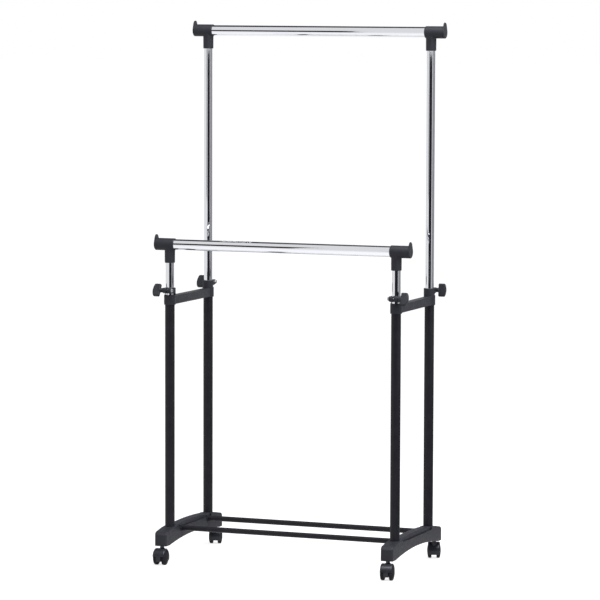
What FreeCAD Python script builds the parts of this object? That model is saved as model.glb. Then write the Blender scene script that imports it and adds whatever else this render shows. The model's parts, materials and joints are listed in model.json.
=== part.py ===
import FreeCAD, Part
import math
import os
import re
import Sketcher

# A double-rail rolling clothes rack with two telescoping hangers.
#
# Frame: millimetres, +Z up, X across the width (left is -X), Y along the depth (front is -Y).
# The origin is on the floor, under the middle of the rack. The rear hanger is pulled right out and the
# front hanger is nearly down.

DIMENSIONS = {
    # overall layout
    "post_spacing_x": 708.0,
    "post_spacing_y": 290.0,
    "upper_rail_height": 1566.0,
    "lower_rail_height": 942.0,
    # painted steel posts
    "post_diameter": 28.6,
    "post_wall": 1.0,
    "post_bottom": 68.0,
    "post_top": 786.0,
    # plated slide tubes and the bushes in their lower ends
    "slide_diameter": 25.4,
    "slide_wall": 0.9,
    "slide_length": 763.0,
    "slide_top_drop": 39.0,
    "bush_diameter": 25.9,
    "bush_flange": 3.0,
    "bush_depth": 18.0,
    # plated rails
    "rail_diameter": 31.5,
    "rail_wall": 1.0,
    "rail_overhang": 39.0,
    # T-connectors
    "tee_sleeve_diameter": 36.0,
    "tee_inboard": 17.0,
    "tee_outboard": 41.0,
    "tee_socket_diameter": 30.4,
    "tee_socket_drop": 54.0,
    "fit_gap": 0.05,
    # end caps with a raised lip that keeps hangers on the rail
    "cap_thickness": 4.0,
    "cap_lip_radius": 12.0,
    "cap_lip_centre": 17.0,
    "cap_plug_depth": 11.0,
    # side brackets: sleeves on the posts, a link between them, and a split clamp on each
    "bracket_bottom": 764.0,
    "bracket_top": 814.0,
    "bracket_width": 34.4,
    "link_bottom": 765.0,
    "link_top": 790.0,
    "link_width": 25.0,
    "link_wall": 2.5,
    "clamp_clearance": 0.1,
    "clamp_slot_bottom": 793.0,
    "clamp_slot_top": 798.6,
    "clamp_axis": 807.5,
    "clamp_slit": 3.2,
    "ear_reach": 21.0,
    "ear_diameter": 15.0,
    "ear_half_length": 14.0,
    # clamp bolts and wing knobs
    "bolt_diameter": 6.0,
    "bolt_head_flats": 10.0,
    "bolt_head_height": 4.2,
    "bolt_length": 45.0,
    "knob_neck_diameter": 13.0,
    "knob_neck_length": 7.0,
    "knob_reach": 30.5,
    "knob_span": 39.0,
    "knob_bow": 5.0,
    "knob_thickness": 11.0,
    "knob_gap": 0.3,
    # feet
    "foot_length": 432.0,
    "foot_width": 38.0,
    "foot_underside": 55.0,
    "foot_arch": 70.5,
    "foot_arch_half_span": 188.0,
    "foot_crest": 112.0,
    "foot_shoulder": 104.0,
    "foot_shoulder_y": 168.0,
    "foot_toe": 97.0,
    "foot_toe_y": 207.0,
    "foot_toe_face": 88.0,
    "foot_corner": 6.0,
    "foot_edge": 2.5,
    "ridge_width": 28.0,
    "ridge_edge": 3.0,
    "side_wall": 2.5,
    "side_wall_top": 99.0,
    "side_wall_half_length": 127.0,
    "groove_floor": 92.0,
    "groove_half_length": 88.0,
    "short_groove_start": 114.5,
    "hollow_width": 30.0,
    "hollow_roof": 87.0,
    "hollow_half_length": 84.0,
    "hollow_rib": 3.0,
    "socket_floor": 68.0,
    # spreaders between the feet
    "spreader_diameter": 16.0,
    "spreader_wall": 1.2,
    "spreader_y": 101.0,
    "spreader_z": 95.5,
    "spreader_insert": 23.0,
    "spreader_boss_diameter": 22.0,
    "spreader_boss_height": 3.0,
    # fasteners under the feet
    "plug_height": 14.0,
    "plug_head": 3.0,
    "post_screw_diameter": 5.0,
    "post_screw_head": 10.0,
    "spreader_screw_diameter": 4.0,
    "spreader_screw_head": 7.6,
    # casters
    "caster_y": 202.0,
    "caster_trail": 12.0,
    "stem_diameter": 11.0,
    "stem_neck_diameter": 12.4,
    "stem_bottom": 28.0,
    "stem_top": 87.0,
    "stem_gap": 0.05,
    "wheel_radius": 22.5,
    "wheel_inner": 7.7,
    "wheel_outer": 18.0,
    "wheel_dome": 20.6,
    "wheel_tread_edge": 3.5,
    "hood_radius": 26.0,
    "hood_well_radius": 23.4,
    "hood_half_width": 18.4,
    "web_half_width": 7.0,
    "hood_floor": 12.0,
    "hood_trailing_edge": 27.0,
    "hood_round": 4.0,
    "axle_diameter": 5.0,
    "axle_half_length": 17.0,
}

SIDES = {"left": -1, "right": 1}
ENDS = {"front": -1, "rear": 1}
HANGERS = {"lower": "front", "upper": "rear"}
# The direction that each caster trails in, in degrees from the rear (+Y) about +Z.
CASTER_HEADINGS = {
    ("front", "left"): 184.0,
    ("front", "right"): 190.0,
    ("rear", "left"): 16.0,
    ("rear", "right"): 21.0,
}
# How far each wing knob is turned about its bolt at rest, in degrees from upright.
KNOB_TURNS = {
    ("front", "left"): 30.0,
    ("front", "right"): -26.0,
    ("rear", "left"): 30.0,
    ("rear", "right"): -6.0,
}

vector = FreeCAD.Vector
doc = FreeCAD.newDocument("RollingClothesRack")
sheet = doc.addObject("Spreadsheet::Sheet", "Dimensions")
for row, (alias, size) in enumerate(DIMENSIONS.items(), start=1):
    sheet.set(f"A{row}", alias)
    sheet.set(f"B{row}", str(size))
    sheet.setAlias(f"B{row}", alias)
doc.recompute()

sub_parts = []


def expression(text):
    """Turns the driving dimensions' plain names into references to the spreadsheet."""

    def reference(word):
        return f"Dimensions.{word[0]}" if word[0] in DIMENSIONS else word[0]

    return re.sub(r"[a-z]\w*", reference, text)


def value(text):
    return float(sheet.evalExpression(expression(text)))


def bind(item, path, text):
    item.setExpression(path, expression(text))


def new_body(label, x="0", y="0", z="0", turn=0.0, roll=0.0):
    """A body at a bound position, rolled about X and then turned about Z, in degrees."""
    body = doc.addObject("PartDesign::Body", label)
    body.Label = label
    rotation = FreeCAD.Rotation(vector(0, 0, 1), turn) * FreeCAD.Rotation(vector(1, 0, 0), roll)
    body.Placement = FreeCAD.Placement(vector(value(x), value(y), value(z)), rotation)
    bind(body, "Placement.Base.x", x)
    bind(body, "Placement.Base.y", y)
    bind(body, "Placement.Base.z", z)
    sub_parts.append(body)
    return body


def new_sketch(body, role, offset=("0", "0", "0")):
    """A sketch on one of the body's origin planes, moved by a bound offset in the plane's own axes."""
    plane = next(item for item in body.Origin.OriginFeatures if item.Role == role)
    sketch = body.newObject("Sketcher::SketchObject", f"{body.Label}_sketch")
    sketch.AttachmentSupport = [(plane, "")]
    sketch.MapMode = "FlatFace"
    for axis, text in zip("xyz", offset):
        if text != "0":
            bind(sketch, f"AttachmentOffset.Base.{axis}", text)
    return sketch


def constrain(sketch, kind, *where, text):
    """Adds a dimension to the sketch and binds it to the driving dimensions."""
    index = sketch.addConstraint(Sketcher.Constraint(kind, *where, value(text)))
    bind(sketch, f"Constraints[{index}]", text)


def circle(sketch, x, y, radius):
    centre = vector(value(x), value(y), 0)
    index = sketch.addGeometry(Part.Circle(centre, vector(0, 0, 1), value(radius)), False)
    constrain(sketch, "DistanceX", -1, 1, index, 3, text=x)
    constrain(sketch, "DistanceY", -1, 1, index, 3, text=y)
    constrain(sketch, "Radius", index, text=radius)


def outline(sketch, corners):
    """A closed outline of straight runs. A corner with a third item has an arc of that radius after it."""
    first = sketch.GeometryCount
    places = [vector(value(corner[0]), value(corner[1]), 0) for corner in corners]
    count = len(corners)
    for index, start in enumerate(places):
        end = places[(index + 1) % count]
        if len(corners[index]) == 3:
            radius = value(corners[index][2])
            along = end - start
            left = vector(-along.y, along.x, 0).normalize()
            rise = abs(radius) - math.sqrt(radius**2 - (along.Length / 2) ** 2)
            middle = (start + end) * 0.5 - left * math.copysign(rise, radius)
            sketch.addGeometry(Part.Arc(start, middle, end), False)
        else:
            sketch.addGeometry(Part.LineSegment(start, end), False)
    ends = []
    for index in range(count):
        # An arc's stored start is its anticlockwise start, which is the run's end on a clockwise arc.
        clockwise = len(corners[index]) == 3 and value(corners[index][2]) < 0
        ends.append((2, 1) if clockwise else (1, 2))
    for index in range(count):
        after = (index + 1) % count
        joint = (first + index, ends[index][1], first + after, ends[after][0])
        sketch.addConstraint(Sketcher.Constraint("Coincident", *joint))
    for index, corner in enumerate(corners):
        start = ends[index][0]
        constrain(sketch, "DistanceX", -1, 1, first + index, start, text=corner[0])
        constrain(sketch, "DistanceY", -1, 1, first + index, start, text=corner[1])
        if len(corner) == 3:
            constrain(sketch, "Radius", first + index, text=f"abs({corner[2]})")


def rectangle(sketch, left, bottom, right, top):
    outline(sketch, [(left, bottom), (right, bottom), (right, top), (left, top)])


def rounded_slot(sketch, low, low_radius, high, high_radius):
    """Two arcs about centres on the sketch's vertical axis, joined by straight tangents."""
    span = value(high) - value(low)
    lean = math.asin((value(low_radius) - value(high_radius)) / span)
    side = vector(math.cos(lean), math.sin(lean), 0)
    other = vector(-math.cos(lean), math.sin(lean), 0)
    centres = (vector(0, value(low), 0), vector(0, value(high), 0))
    low_right = centres[0] + side * value(low_radius)
    low_left = centres[0] + other * value(low_radius)
    high_right = centres[1] + side * value(high_radius)
    high_left = centres[1] + other * value(high_radius)
    bottom = centres[0] - vector(0, value(low_radius), 0)
    top = centres[1] + vector(0, value(high_radius), 0)
    sketch.addGeometry(Part.Arc(low_left, bottom, low_right), False)
    sketch.addGeometry(Part.LineSegment(low_right, high_right), False)
    sketch.addGeometry(Part.Arc(high_right, top, high_left), False)
    sketch.addGeometry(Part.LineSegment(high_left, low_left), False)
    for index in range(4):
        sketch.addConstraint(Sketcher.Constraint("Tangent", index, 2, (index + 1) % 4, 1))
    for index, height, radius in ((0, low, low_radius), (2, high, high_radius)):
        sketch.addConstraint(Sketcher.Constraint("PointOnObject", index, 3, -2))
        constrain(sketch, "DistanceY", -1, 1, index, 3, text=height)
        constrain(sketch, "Radius", index, text=radius)


def extrude(kind, sketch, length, symmetric, backwards):
    body = sketch.getParentGeoFeatureGroup()
    feature = body.newObject(kind, f"{body.Label}_{kind.split('::')[1].lower()}")
    feature.Profile = sketch
    if symmetric:
        feature.SideType = "Symmetric"
    feature.Reversed = backwards
    bind(feature, "Length", length)
    return feature


def pad(sketch, length, symmetric=False, backwards=False):
    return extrude("PartDesign::Pad", sketch, length, symmetric, backwards)


def pocket(sketch, length, symmetric=False, backwards=False):
    return extrude("PartDesign::Pocket", sketch, length, symmetric, backwards)


def revolve(sketch, axis="V_Axis", kind="PartDesign::Revolution"):
    body = sketch.getParentGeoFeatureGroup()
    feature = body.newObject(kind, f"{body.Label}_{kind.split('::')[1].lower()}")
    feature.Profile = sketch
    feature.ReferenceAxis = (sketch, [axis])
    feature.Angle = 360.0
    return feature


def dress(kind, body, size, wanted, size_name="Radius"):
    """Fillets or chamfers the edges of the body's last feature that the test accepts."""
    doc.recompute()
    base = body.Tip
    edges = [f"Edge{i}" for i, edge in enumerate(base.Shape.Edges, start=1) if wanted(edge)]
    feature = body.newObject(kind, f"{body.Label}_{kind.split('::')[1].lower()}")
    feature.Base = (base, edges)
    bind(feature, size_name, size)
    return feature


def is_circle(edge, radius):
    return edge.Curve.TypeId == "Part::GeomCircle" and abs(edge.Curve.Radius - radius) < 1e-4


def tube(sketch, diameter, wall, length, symmetric=False):
    circle(sketch, "0", "0", f"{diameter} / 2")
    circle(sketch, "0", "0", f"{diameter} / 2 - {wall}")
    pad(sketch, length, symmetric)


def post_x(side):
    return f"{SIDES[side]} * post_spacing_x / 2"


def post_y(end):
    return f"{ENDS[end]} * post_spacing_y / 2"


# --- Feet -----------------------------------------------------------------------------------------


def make_foot(side):
    """A moulded foot: arched below, with sockets for two posts, two spreaders and two caster stems."""
    inward = -SIDES[side]
    body = new_body(f"foot_{side}", x=post_x(side))
    profile = new_sketch(body, "YZ_Plane")
    arch_radius = "( foot_arch_half_span ^ 2 + ( foot_arch - foot_underside ) ^ 2 )"
    arch_radius += " / ( 2 * ( foot_arch - foot_underside ) )"
    crest_radius = "( foot_shoulder_y ^ 2 + ( foot_crest - foot_shoulder ) ^ 2 )"
    crest_radius += " / ( 2 * ( foot_crest - foot_shoulder ) )"
    outline(profile, [
        ("-1 * foot_length / 2", "foot_underside"),
        ("-1 * foot_arch_half_span", "foot_underside", f"-1 * {arch_radius}"),
        ("foot_arch_half_span", "foot_underside"),
        ("foot_length / 2", "foot_underside"),
        ("foot_length / 2", "foot_toe_face"),
        ("foot_toe_y", "foot_toe"),
        ("foot_shoulder_y", "foot_shoulder", crest_radius),
        ("-1 * foot_shoulder_y", "foot_shoulder"),
        ("-1 * foot_toe_y", "foot_toe"),
        ("-1 * foot_length / 2", "foot_toe_face"),
    ])
    pad(profile, "foot_width", symmetric=True)

    half_width = DIMENSIONS["foot_width"] / 2
    half_length = DIMENSIONS["foot_length"] / 2
    dress("PartDesign::Fillet", body, "foot_corner", lambda edge: (
        abs(abs(edge.CenterOfMass.x) - half_width) < 0.01
        and abs(abs(edge.CenterOfMass.y) - half_length) < 0.01
        and abs(edge.tangentAt(edge.FirstParameter).z) > 0.9
    ))
    dress("PartDesign::Fillet", body, "foot_edge", lambda edge: (
        edge.BoundBox.ZMin > DIMENSIONS["foot_toe_face"] - 0.01
        and abs(abs(edge.CenterOfMass.x) - half_width) < 0.01
        and abs(edge.CenterOfMass.y) < DIMENSIONS["foot_shoulder_y"]
    ))

    # bosses that carry the spreaders stand a little way out of the inner side
    for end in ENDS:
        boss = new_sketch(body, "YZ_Plane")
        circle(boss, f"{ENDS[end]} * spreader_y", "spreader_z", "spreader_boss_diameter / 2")
        pad(boss, "foot_width / 2 + spreader_boss_height", backwards=inward < 0)

    # between the posts the sides are lower than the ridge, with grooves along the ridge
    half_ridge = "ridge_width / 2"
    wall = "( foot_width / 2 - side_wall )"
    sides = new_sketch(body, "XY_Plane", ("0", "0", "side_wall_top"))
    grooves = new_sketch(body, "XY_Plane", ("0", "0", "groove_floor"))
    reach = "side_wall_half_length"
    beyond = "( foot_width / 2 + 5 )"
    rectangle(sides, half_ridge, f"-1 * {reach}", beyond, reach)
    rectangle(sides, f"-1 * {beyond}", f"-1 * {reach}", f"-1 * {half_ridge}", reach)
    spans = [
        ("-1 * groove_half_length", "groove_half_length"),
        ("short_groove_start", reach),
        (f"-1 * {reach}", "-1 * short_groove_start"),
    ]
    for low, high in spans:
        rectangle(grooves, half_ridge, low, wall, high)
        rectangle(grooves, f"-1 * {wall}", low, f"-1 * {half_ridge}", high)
    pocket(sides, "foot_crest - side_wall_top + 1", backwards=True)
    pocket(grooves, "side_wall_top - groove_floor + 1", backwards=True)
    dress("PartDesign::Fillet", body, "ridge_edge", lambda edge: (
        abs(abs(edge.CenterOfMass.x) - DIMENSIONS["ridge_width"] / 2) < 0.01
        and edge.BoundBox.ZMin > DIMENSIONS["side_wall_top"] + 1
        and edge.BoundBox.YLength > DIMENSIONS["side_wall_half_length"]
    ))

    # three cells below, open downwards, with ribs between them
    hollow = new_sketch(body, "XY_Plane", ("0", "0", "hollow_roof"))
    cell = "( ( 2 * hollow_half_length - 2 * hollow_rib ) / 3 )"
    for number in range(3):
        low = f"-1 * hollow_half_length + {number} * ( {cell} + hollow_rib )"
        rectangle(hollow, "-1 * hollow_width / 2", low, "hollow_width / 2", f"{low} + {cell}")
    pocket(hollow, "hollow_roof - foot_underside + 1")

    # sockets for the posts and the caster stems, and holes for the screws
    sockets = new_sketch(body, "XY_Plane", ("0", "0", "socket_floor"))
    stems = new_sketch(body, "XY_Plane", ("0", "0", "foot_underside - 1"))
    screws = new_sketch(body, "XY_Plane", ("0", "0", "socket_floor + 1"))
    counterbores = new_sketch(body, "XY_Plane", ("0", "0", "socket_floor - plug_head"))
    for sign in ("-1", "1"):
        post = f"{sign} * post_spacing_y / 2"
        circle(sockets, "0", post, "post_diameter / 2 + fit_gap")
        circle(stems, "0", f"{sign} * caster_y", "stem_diameter / 2 + stem_gap")
        circle(screws, "0", post, "post_screw_diameter / 2 + fit_gap")
        circle(counterbores, "0", post, "post_screw_head / 2 + 0.5")
    pocket(sockets, "foot_crest - socket_floor + 1", backwards=True)
    pocket(stems, "stem_top - foot_underside + 1.5", backwards=True)
    pocket(screws, "socket_floor - foot_underside + 1")
    pocket(counterbores, "socket_floor - foot_underside")

    # blind sockets for the spreaders, and their screws from below
    reach = "foot_width / 2 + spreader_boss_height"
    offset = f"{inward} * ( {reach} )"
    spreaders = new_sketch(body, "YZ_Plane", ("0", "0", offset))
    for sign in ("-1", "1"):
        circle(spreaders, f"{sign} * spreader_y", "spreader_z", "spreader_diameter / 2 + fit_gap")
    pocket(spreaders, "spreader_insert", backwards=inward < 0)
    spreader_screw_x = f"{inward} * ( {reach} - spreader_insert / 2 )"
    lower = new_sketch(body, "XY_Plane", ("0", "0", "spreader_z"))
    heads = new_sketch(body, "XY_Plane", ("0", "0", "spreader_z - spreader_diameter"))
    for sign in ("-1", "1"):
        circle(lower, spreader_screw_x, f"{sign} * spreader_y", "spreader_screw_diameter / 2 + fit_gap")
        circle(heads, spreader_screw_x, f"{sign} * spreader_y", "spreader_screw_head / 2 + 0.5")
    pocket(lower, "spreader_z - foot_underside")
    pocket(heads, "spreader_z - spreader_diameter - foot_underside")


def make_post(end, side):
    body = new_body(f"post_{end}_{side}", post_x(side), post_y(end), "post_bottom")
    tube(new_sketch(body, "XY_Plane"), "post_diameter", "post_wall", "post_top - post_bottom")


def make_post_plug(end, side):
    """The threaded insert that is pressed into a post's lower end."""
    body = new_body(f"post_plug_{end}_{side}", post_x(side), post_y(end), "post_bottom")
    section = new_sketch(body, "XZ_Plane")
    inner = "post_screw_diameter / 2 + fit_gap"
    outer = "post_diameter / 2 - post_wall"
    outline(section, [
        (inner, "0"), (f"{outer} - 0.8", "0"), (outer, "0.8"), (outer, "plug_height"),
        (f"{inner} + 2", "plug_height"), (inner, "plug_height - 2"),
    ])
    revolve(section)


def pan_head_screw(body, x, y, head_z, tip_z, head_radius, shank_radius):
    """A pan head with its flat side up, a shank that points up, and a cross recess below."""
    head_height = f"( {head_radius} * 0.5 )"
    section = new_sketch(body, "XZ_Plane", (x, "0", "0"))
    section_y = f"-1 * ( {y} )"
    bind(section, "AttachmentOffset.Base.z", section_y)
    outline(section, [
        ("0", f"{head_z} - {head_height}"),
        (f"{head_radius} * 0.6", f"{head_z} - {head_height}"),
        (head_radius, f"{head_z} - {head_height} * 0.4"),
        (head_radius, head_z),
        (shank_radius, head_z),
        (shank_radius, f"{tip_z} - {shank_radius}"),
        (f"{shank_radius} * 0.3", tip_z),
        ("0", tip_z),
    ])
    revolve(section)


def make_screws():
    """The screws that are driven up from under the feet, into the post plugs and the spreaders."""
    for side in SIDES:
        inward = -SIDES[side]
        for end in ENDS:
            post = new_body(f"post_screw_{end}_{side}")
            pan_head_screw(
                post, post_x(side), post_y(end),
                "socket_floor - plug_head", "post_bottom + plug_height - 2",
                "post_screw_head / 2", "post_screw_diameter / 2",
            )
            spreader = new_body(f"spreader_screw_{end}_{side}")
            reach = "( foot_width / 2 + spreader_boss_height - spreader_insert / 2 )"
            pan_head_screw(
                spreader, f"{post_x(side)} + {inward} * {reach}", f"{ENDS[end]} * spreader_y",
                "spreader_z - spreader_diameter", "spreader_z - spreader_diameter / 2 + 5",
                "spreader_screw_head / 2", "spreader_screw_diameter / 2",
            )


def make_spreader(end):
    """A steel tube between the feet, with a cross hole near each end for its screw."""
    body = new_body(f"spreader_{end}", y=f"{ENDS[end]} * spreader_y", z="spreader_z")
    length = "( post_spacing_x - foot_width - 2 * spreader_boss_height + 2 * spreader_insert )"
    tube(new_sketch(body, "YZ_Plane"), "spreader_diameter", "spreader_wall", length, symmetric=True)
    holes = new_sketch(body, "XY_Plane")
    hole_x = f"( {length} / 2 - spreader_insert / 2 )"
    for sign in ("-1", "1"):
        circle(holes, f"{sign} * {hole_x}", "0", "spreader_screw_diameter / 2 + fit_gap")
    pocket(holes, "spreader_diameter / 2 + 1")


# --- Side brackets and their clamps ----------------------------------------------------------------


def make_bracket(side):
    """Two post sleeves joined by a hollow link, with a split clamp over each sleeve."""
    body = new_body(f"bracket_{side}", x=post_x(side))
    half_spacing = "post_spacing_y / 2"
    half_width = "bracket_width / 2"
    half_link = "link_width / 2"
    link = new_sketch(body, "XY_Plane", ("0", "0", "link_bottom"))
    rectangle(link, f"-1 * {half_link}", f"-1 * {half_spacing}", half_link, half_spacing)
    pad(link, "link_top - link_bottom")
    sleeves = new_sketch(body, "XY_Plane", ("0", "0", "bracket_bottom"))
    rings = new_sketch(body, "XY_Plane", ("0", "0", "bracket_bottom"))
    for sign in ("-1", "1"):
        circle(sleeves, "0", f"{sign} * {half_spacing}", half_width)
        circle(rings, "0", f"{sign} * {half_spacing}", "slide_diameter / 2 + clamp_clearance")
    pad(sleeves, "bracket_top - bracket_bottom")

    # ears in front of the front clamp and behind the rear clamp, ending in a barrel for the bolt
    ear_inner = "post_spacing_y / 2 + slide_diameter / 2 + 1"
    ear_centre = "post_spacing_y / 2 + ear_reach"
    webs = new_sketch(body, "YZ_Plane")
    rectangle(webs, ear_inner, "clamp_slot_top", ear_centre, "bracket_top")
    rectangle(webs, f"-1 * ( {ear_centre} )", "clamp_slot_top", f"-1 * ( {ear_inner} )", "bracket_top")
    pad(webs, "2 * ear_half_length - 3", symmetric=True)
    barrels = new_sketch(body, "YZ_Plane")
    bolt_holes = new_sketch(body, "YZ_Plane")
    for sign in ("-1", "1"):
        circle(barrels, f"{sign} * ( {ear_centre} )", "clamp_axis", "ear_diameter / 2")
        circle(bolt_holes, f"{sign} * ( {ear_centre} )", "clamp_axis", "bolt_diameter / 2 + fit_gap")
    pad(barrels, "2 * ear_half_length", symmetric=True)

    pocket(rings, "bracket_top - bracket_bottom + 1", backwards=True)
    posts = new_sketch(body, "XY_Plane", ("0", "0", "post_top"))
    for sign in ("-1", "1"):
        circle(posts, "0", f"{sign} * {half_spacing}", "post_diameter / 2 + fit_gap")
    pocket(posts, "post_top - bracket_bottom + 1")

    # the link is open below
    hollow = new_sketch(body, "XY_Plane", ("0", "0", "link_top - link_wall"))
    reach = "( post_spacing_y / 2 - bracket_width / 2 - 1 )"
    inside = "( link_width / 2 - link_wall )"
    rectangle(hollow, f"-1 * {inside}", f"-1 * {reach}", inside, f"-1 * {reach} / 3 - 1.5")
    rectangle(hollow, f"-1 * {inside}", f"-1 * {reach} / 3 + 1.5", inside, f"{reach} / 3 - 1.5")
    rectangle(hollow, f"-1 * {inside}", f"{reach} / 3 + 1.5", inside, reach)
    pocket(hollow, "link_top - link_wall - link_bottom + 1")

    # a slot frees each clamp from its sleeve, and a slit lets the bolt close it
    slots = new_sketch(body, "YZ_Plane")
    outer = f"{ear_centre} + ear_diameter"
    inner = "post_spacing_y / 2 - 2"
    rectangle(slots, inner, "clamp_slot_bottom", outer, "clamp_slot_top")
    rectangle(slots, f"-1 * ( {outer} )", "clamp_slot_bottom", f"-1 * ( {inner} )", "clamp_slot_top")
    pocket(slots, "2 * bracket_width", symmetric=True)
    slits = new_sketch(body, "YZ_Plane")
    start = "post_spacing_y / 2 + slide_diameter / 4"
    rectangle(slits, start, "clamp_slot_bottom", outer, "bracket_top + 2")
    rectangle(slits, f"-1 * ( {outer} )", "clamp_slot_bottom", f"-1 * ( {start} )", "bracket_top + 2")
    pocket(slits, "clamp_slit", symmetric=True)
    pocket(bolt_holes, "3 * ear_half_length", symmetric=True)


def make_clamp_bolt(end, side):
    """A hex bolt through a clamp's ears, with its head on the inner side."""
    y = f"{ENDS[end]} * ( post_spacing_y / 2 + ear_reach )"
    turn = 0.0 if SIDES[side] > 0 else 180.0
    body = new_body(f"clamp_bolt_{end}_{side}", post_x(side), y, "clamp_axis", turn)
    head = new_sketch(body, "YZ_Plane", ("0", "0", "-1 * ear_half_length"))
    flats = "bolt_head_flats / 2"
    corner = "bolt_head_flats / 2 / cos(30)"
    half_flat = "bolt_head_flats / 2 * tan(30)"
    outline(head, [
        (flats, f"-1 * {half_flat}"), (flats, half_flat), ("0", corner),
        (f"-1 * {flats}", half_flat), (f"-1 * {flats}", f"-1 * {half_flat}"), ("0", f"-1 * {corner}"),
    ])
    pad(head, "bolt_head_height", backwards=True)
    shank = new_sketch(body, "YZ_Plane", ("0", "0", "-1 * ear_half_length"))
    circle(shank, "0", "0", "bolt_diameter / 2")
    pad(shank, "bolt_length")
    tip = DIMENSIONS["bolt_length"] - DIMENSIONS["ear_half_length"]
    dress("PartDesign::Chamfer", body, "bolt_diameter / 8", lambda edge: (
        is_circle(edge, DIMENSIONS["bolt_diameter"] / 2) and abs(edge.CenterOfMass.x - tip) < 0.01
    ), "Size")


def make_wing_knob(end, side):
    """A wing knob that screws on the bolt's free end: a neck and a wing with a bowed outer edge."""
    y = f"{ENDS[end]} * ( post_spacing_y / 2 + ear_reach )"
    turn = 0.0 if SIDES[side] > 0 else 180.0
    body = new_body(f"wing_knob_{end}_{side}", post_x(side), y, "clamp_axis", turn, KNOB_TURNS[(end, side)])
    base = "ear_half_length + knob_gap"
    wing_base = f"( {base} + knob_neck_length )"
    wing_tip = f"( {base} + knob_reach )"
    shoulder = f"( {wing_tip} - knob_bow )"
    bow_radius = "( ( knob_span * knob_span / 4 + knob_bow * knob_bow ) / ( 2 * knob_bow ) )"
    wing = new_sketch(body, "XZ_Plane")
    outline(wing, [
        (wing_base, "-1 * knob_span / 2"),
        (shoulder, "-1 * knob_span / 2", bow_radius),
        (shoulder, "knob_span / 2"),
        (wing_base, "knob_span / 2"),
    ])
    pad(wing, "knob_thickness", symmetric=True)
    dress("PartDesign::Fillet", body, "knob_thickness * 0.3", lambda edge: edge.Length > 1)
    neck = new_sketch(body, "YZ_Plane", ("0", "0", base))
    circle(neck, "0", "0", "knob_neck_diameter / 2")
    pad(neck, "knob_neck_length + knob_thickness / 2")
    bore = new_sketch(body, "YZ_Plane", ("0", "0", base))
    circle(bore, "0", "0", "bolt_diameter / 2 + fit_gap")
    pocket(bore, "bolt_length - 2 * ear_half_length + 1", backwards=True)


# --- Hangers --------------------------------------------------------------------------------------


def make_slide_tube(hanger, side):
    end = HANGERS[hanger]
    top = f"{hanger}_rail_height - slide_top_drop"
    body = new_body(f"slide_tube_{end}_{side}", post_x(side), post_y(end), f"{top} - slide_length")
    tube(new_sketch(body, "XY_Plane"), "slide_diameter", "slide_wall", "slide_length")


def make_guide_bush(hanger, side):
    """The plastic bush in a slide tube's lower end, which steadies it inside the post."""
    end = HANGERS[hanger]
    bottom = f"{hanger}_rail_height - slide_top_drop - slide_length"
    body = new_body(f"guide_bush_{end}_{side}", post_x(side), post_y(end), bottom)
    section = new_sketch(body, "XZ_Plane")
    flange = "bush_diameter / 2"
    inside = "slide_diameter / 2 - slide_wall"
    outline(section, [
        (f"{inside} - 2", "-1 * bush_flange"), (f"{flange} - 1", "-1 * bush_flange"),
        (flange, "-1 * bush_flange + 1"), (flange, "0"), (inside, "0"),
        (inside, "bush_depth - 1"), (f"{inside} - 1", "bush_depth"), (f"{inside} - 2", "bush_depth"),
    ])
    revolve(section)


def make_rail(hanger):
    end = HANGERS[hanger]
    body = new_body(f"{hanger}_rail", y=post_y(end), z=f"{hanger}_rail_height")
    sketch = new_sketch(body, "YZ_Plane")
    tube(sketch, "rail_diameter", "rail_wall", "post_spacing_x + 2 * rail_overhang", symmetric=True)


def make_tee(hanger, side):
    """The moulding that joins a rail to a slide tube: a sleeve across and a socket below."""
    end = HANGERS[hanger]
    turn = 0.0 if SIDES[side] > 0 else 180.0
    body = new_body(f"t_connector_{end}_{side}", post_x(side), post_y(end), f"{hanger}_rail_height", turn)
    sleeve = new_sketch(body, "YZ_Plane", ("0", "0", "-1 * tee_inboard"))
    circle(sleeve, "0", "0", "tee_sleeve_diameter / 2")
    pad(sleeve, "tee_inboard + tee_outboard")
    socket = new_sketch(body, "XY_Plane")
    circle(socket, "0", "0", "tee_socket_diameter / 2")
    pad(socket, "tee_socket_drop", backwards=True)
    radii = (DIMENSIONS["tee_socket_diameter"] / 2, DIMENSIONS["tee_sleeve_diameter"] / 2)
    dress("PartDesign::Fillet", body, "1.5", lambda edge: (
        edge.CenterOfMass.x < 1 and any(is_circle(edge, radius) for radius in radii)
    ))
    rail_bore = new_sketch(body, "YZ_Plane", ("0", "0", "-1 * tee_inboard - 1"))
    circle(rail_bore, "0", "0", "rail_diameter / 2 + fit_gap")
    pocket(rail_bore, "tee_inboard + tee_outboard + 2", backwards=True)
    tube_bore = new_sketch(body, "XY_Plane", ("0", "0", "-1 * slide_top_drop"))
    circle(tube_bore, "0", "0", "slide_diameter / 2 + fit_gap")
    pocket(tube_bore, "tee_socket_drop")


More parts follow.
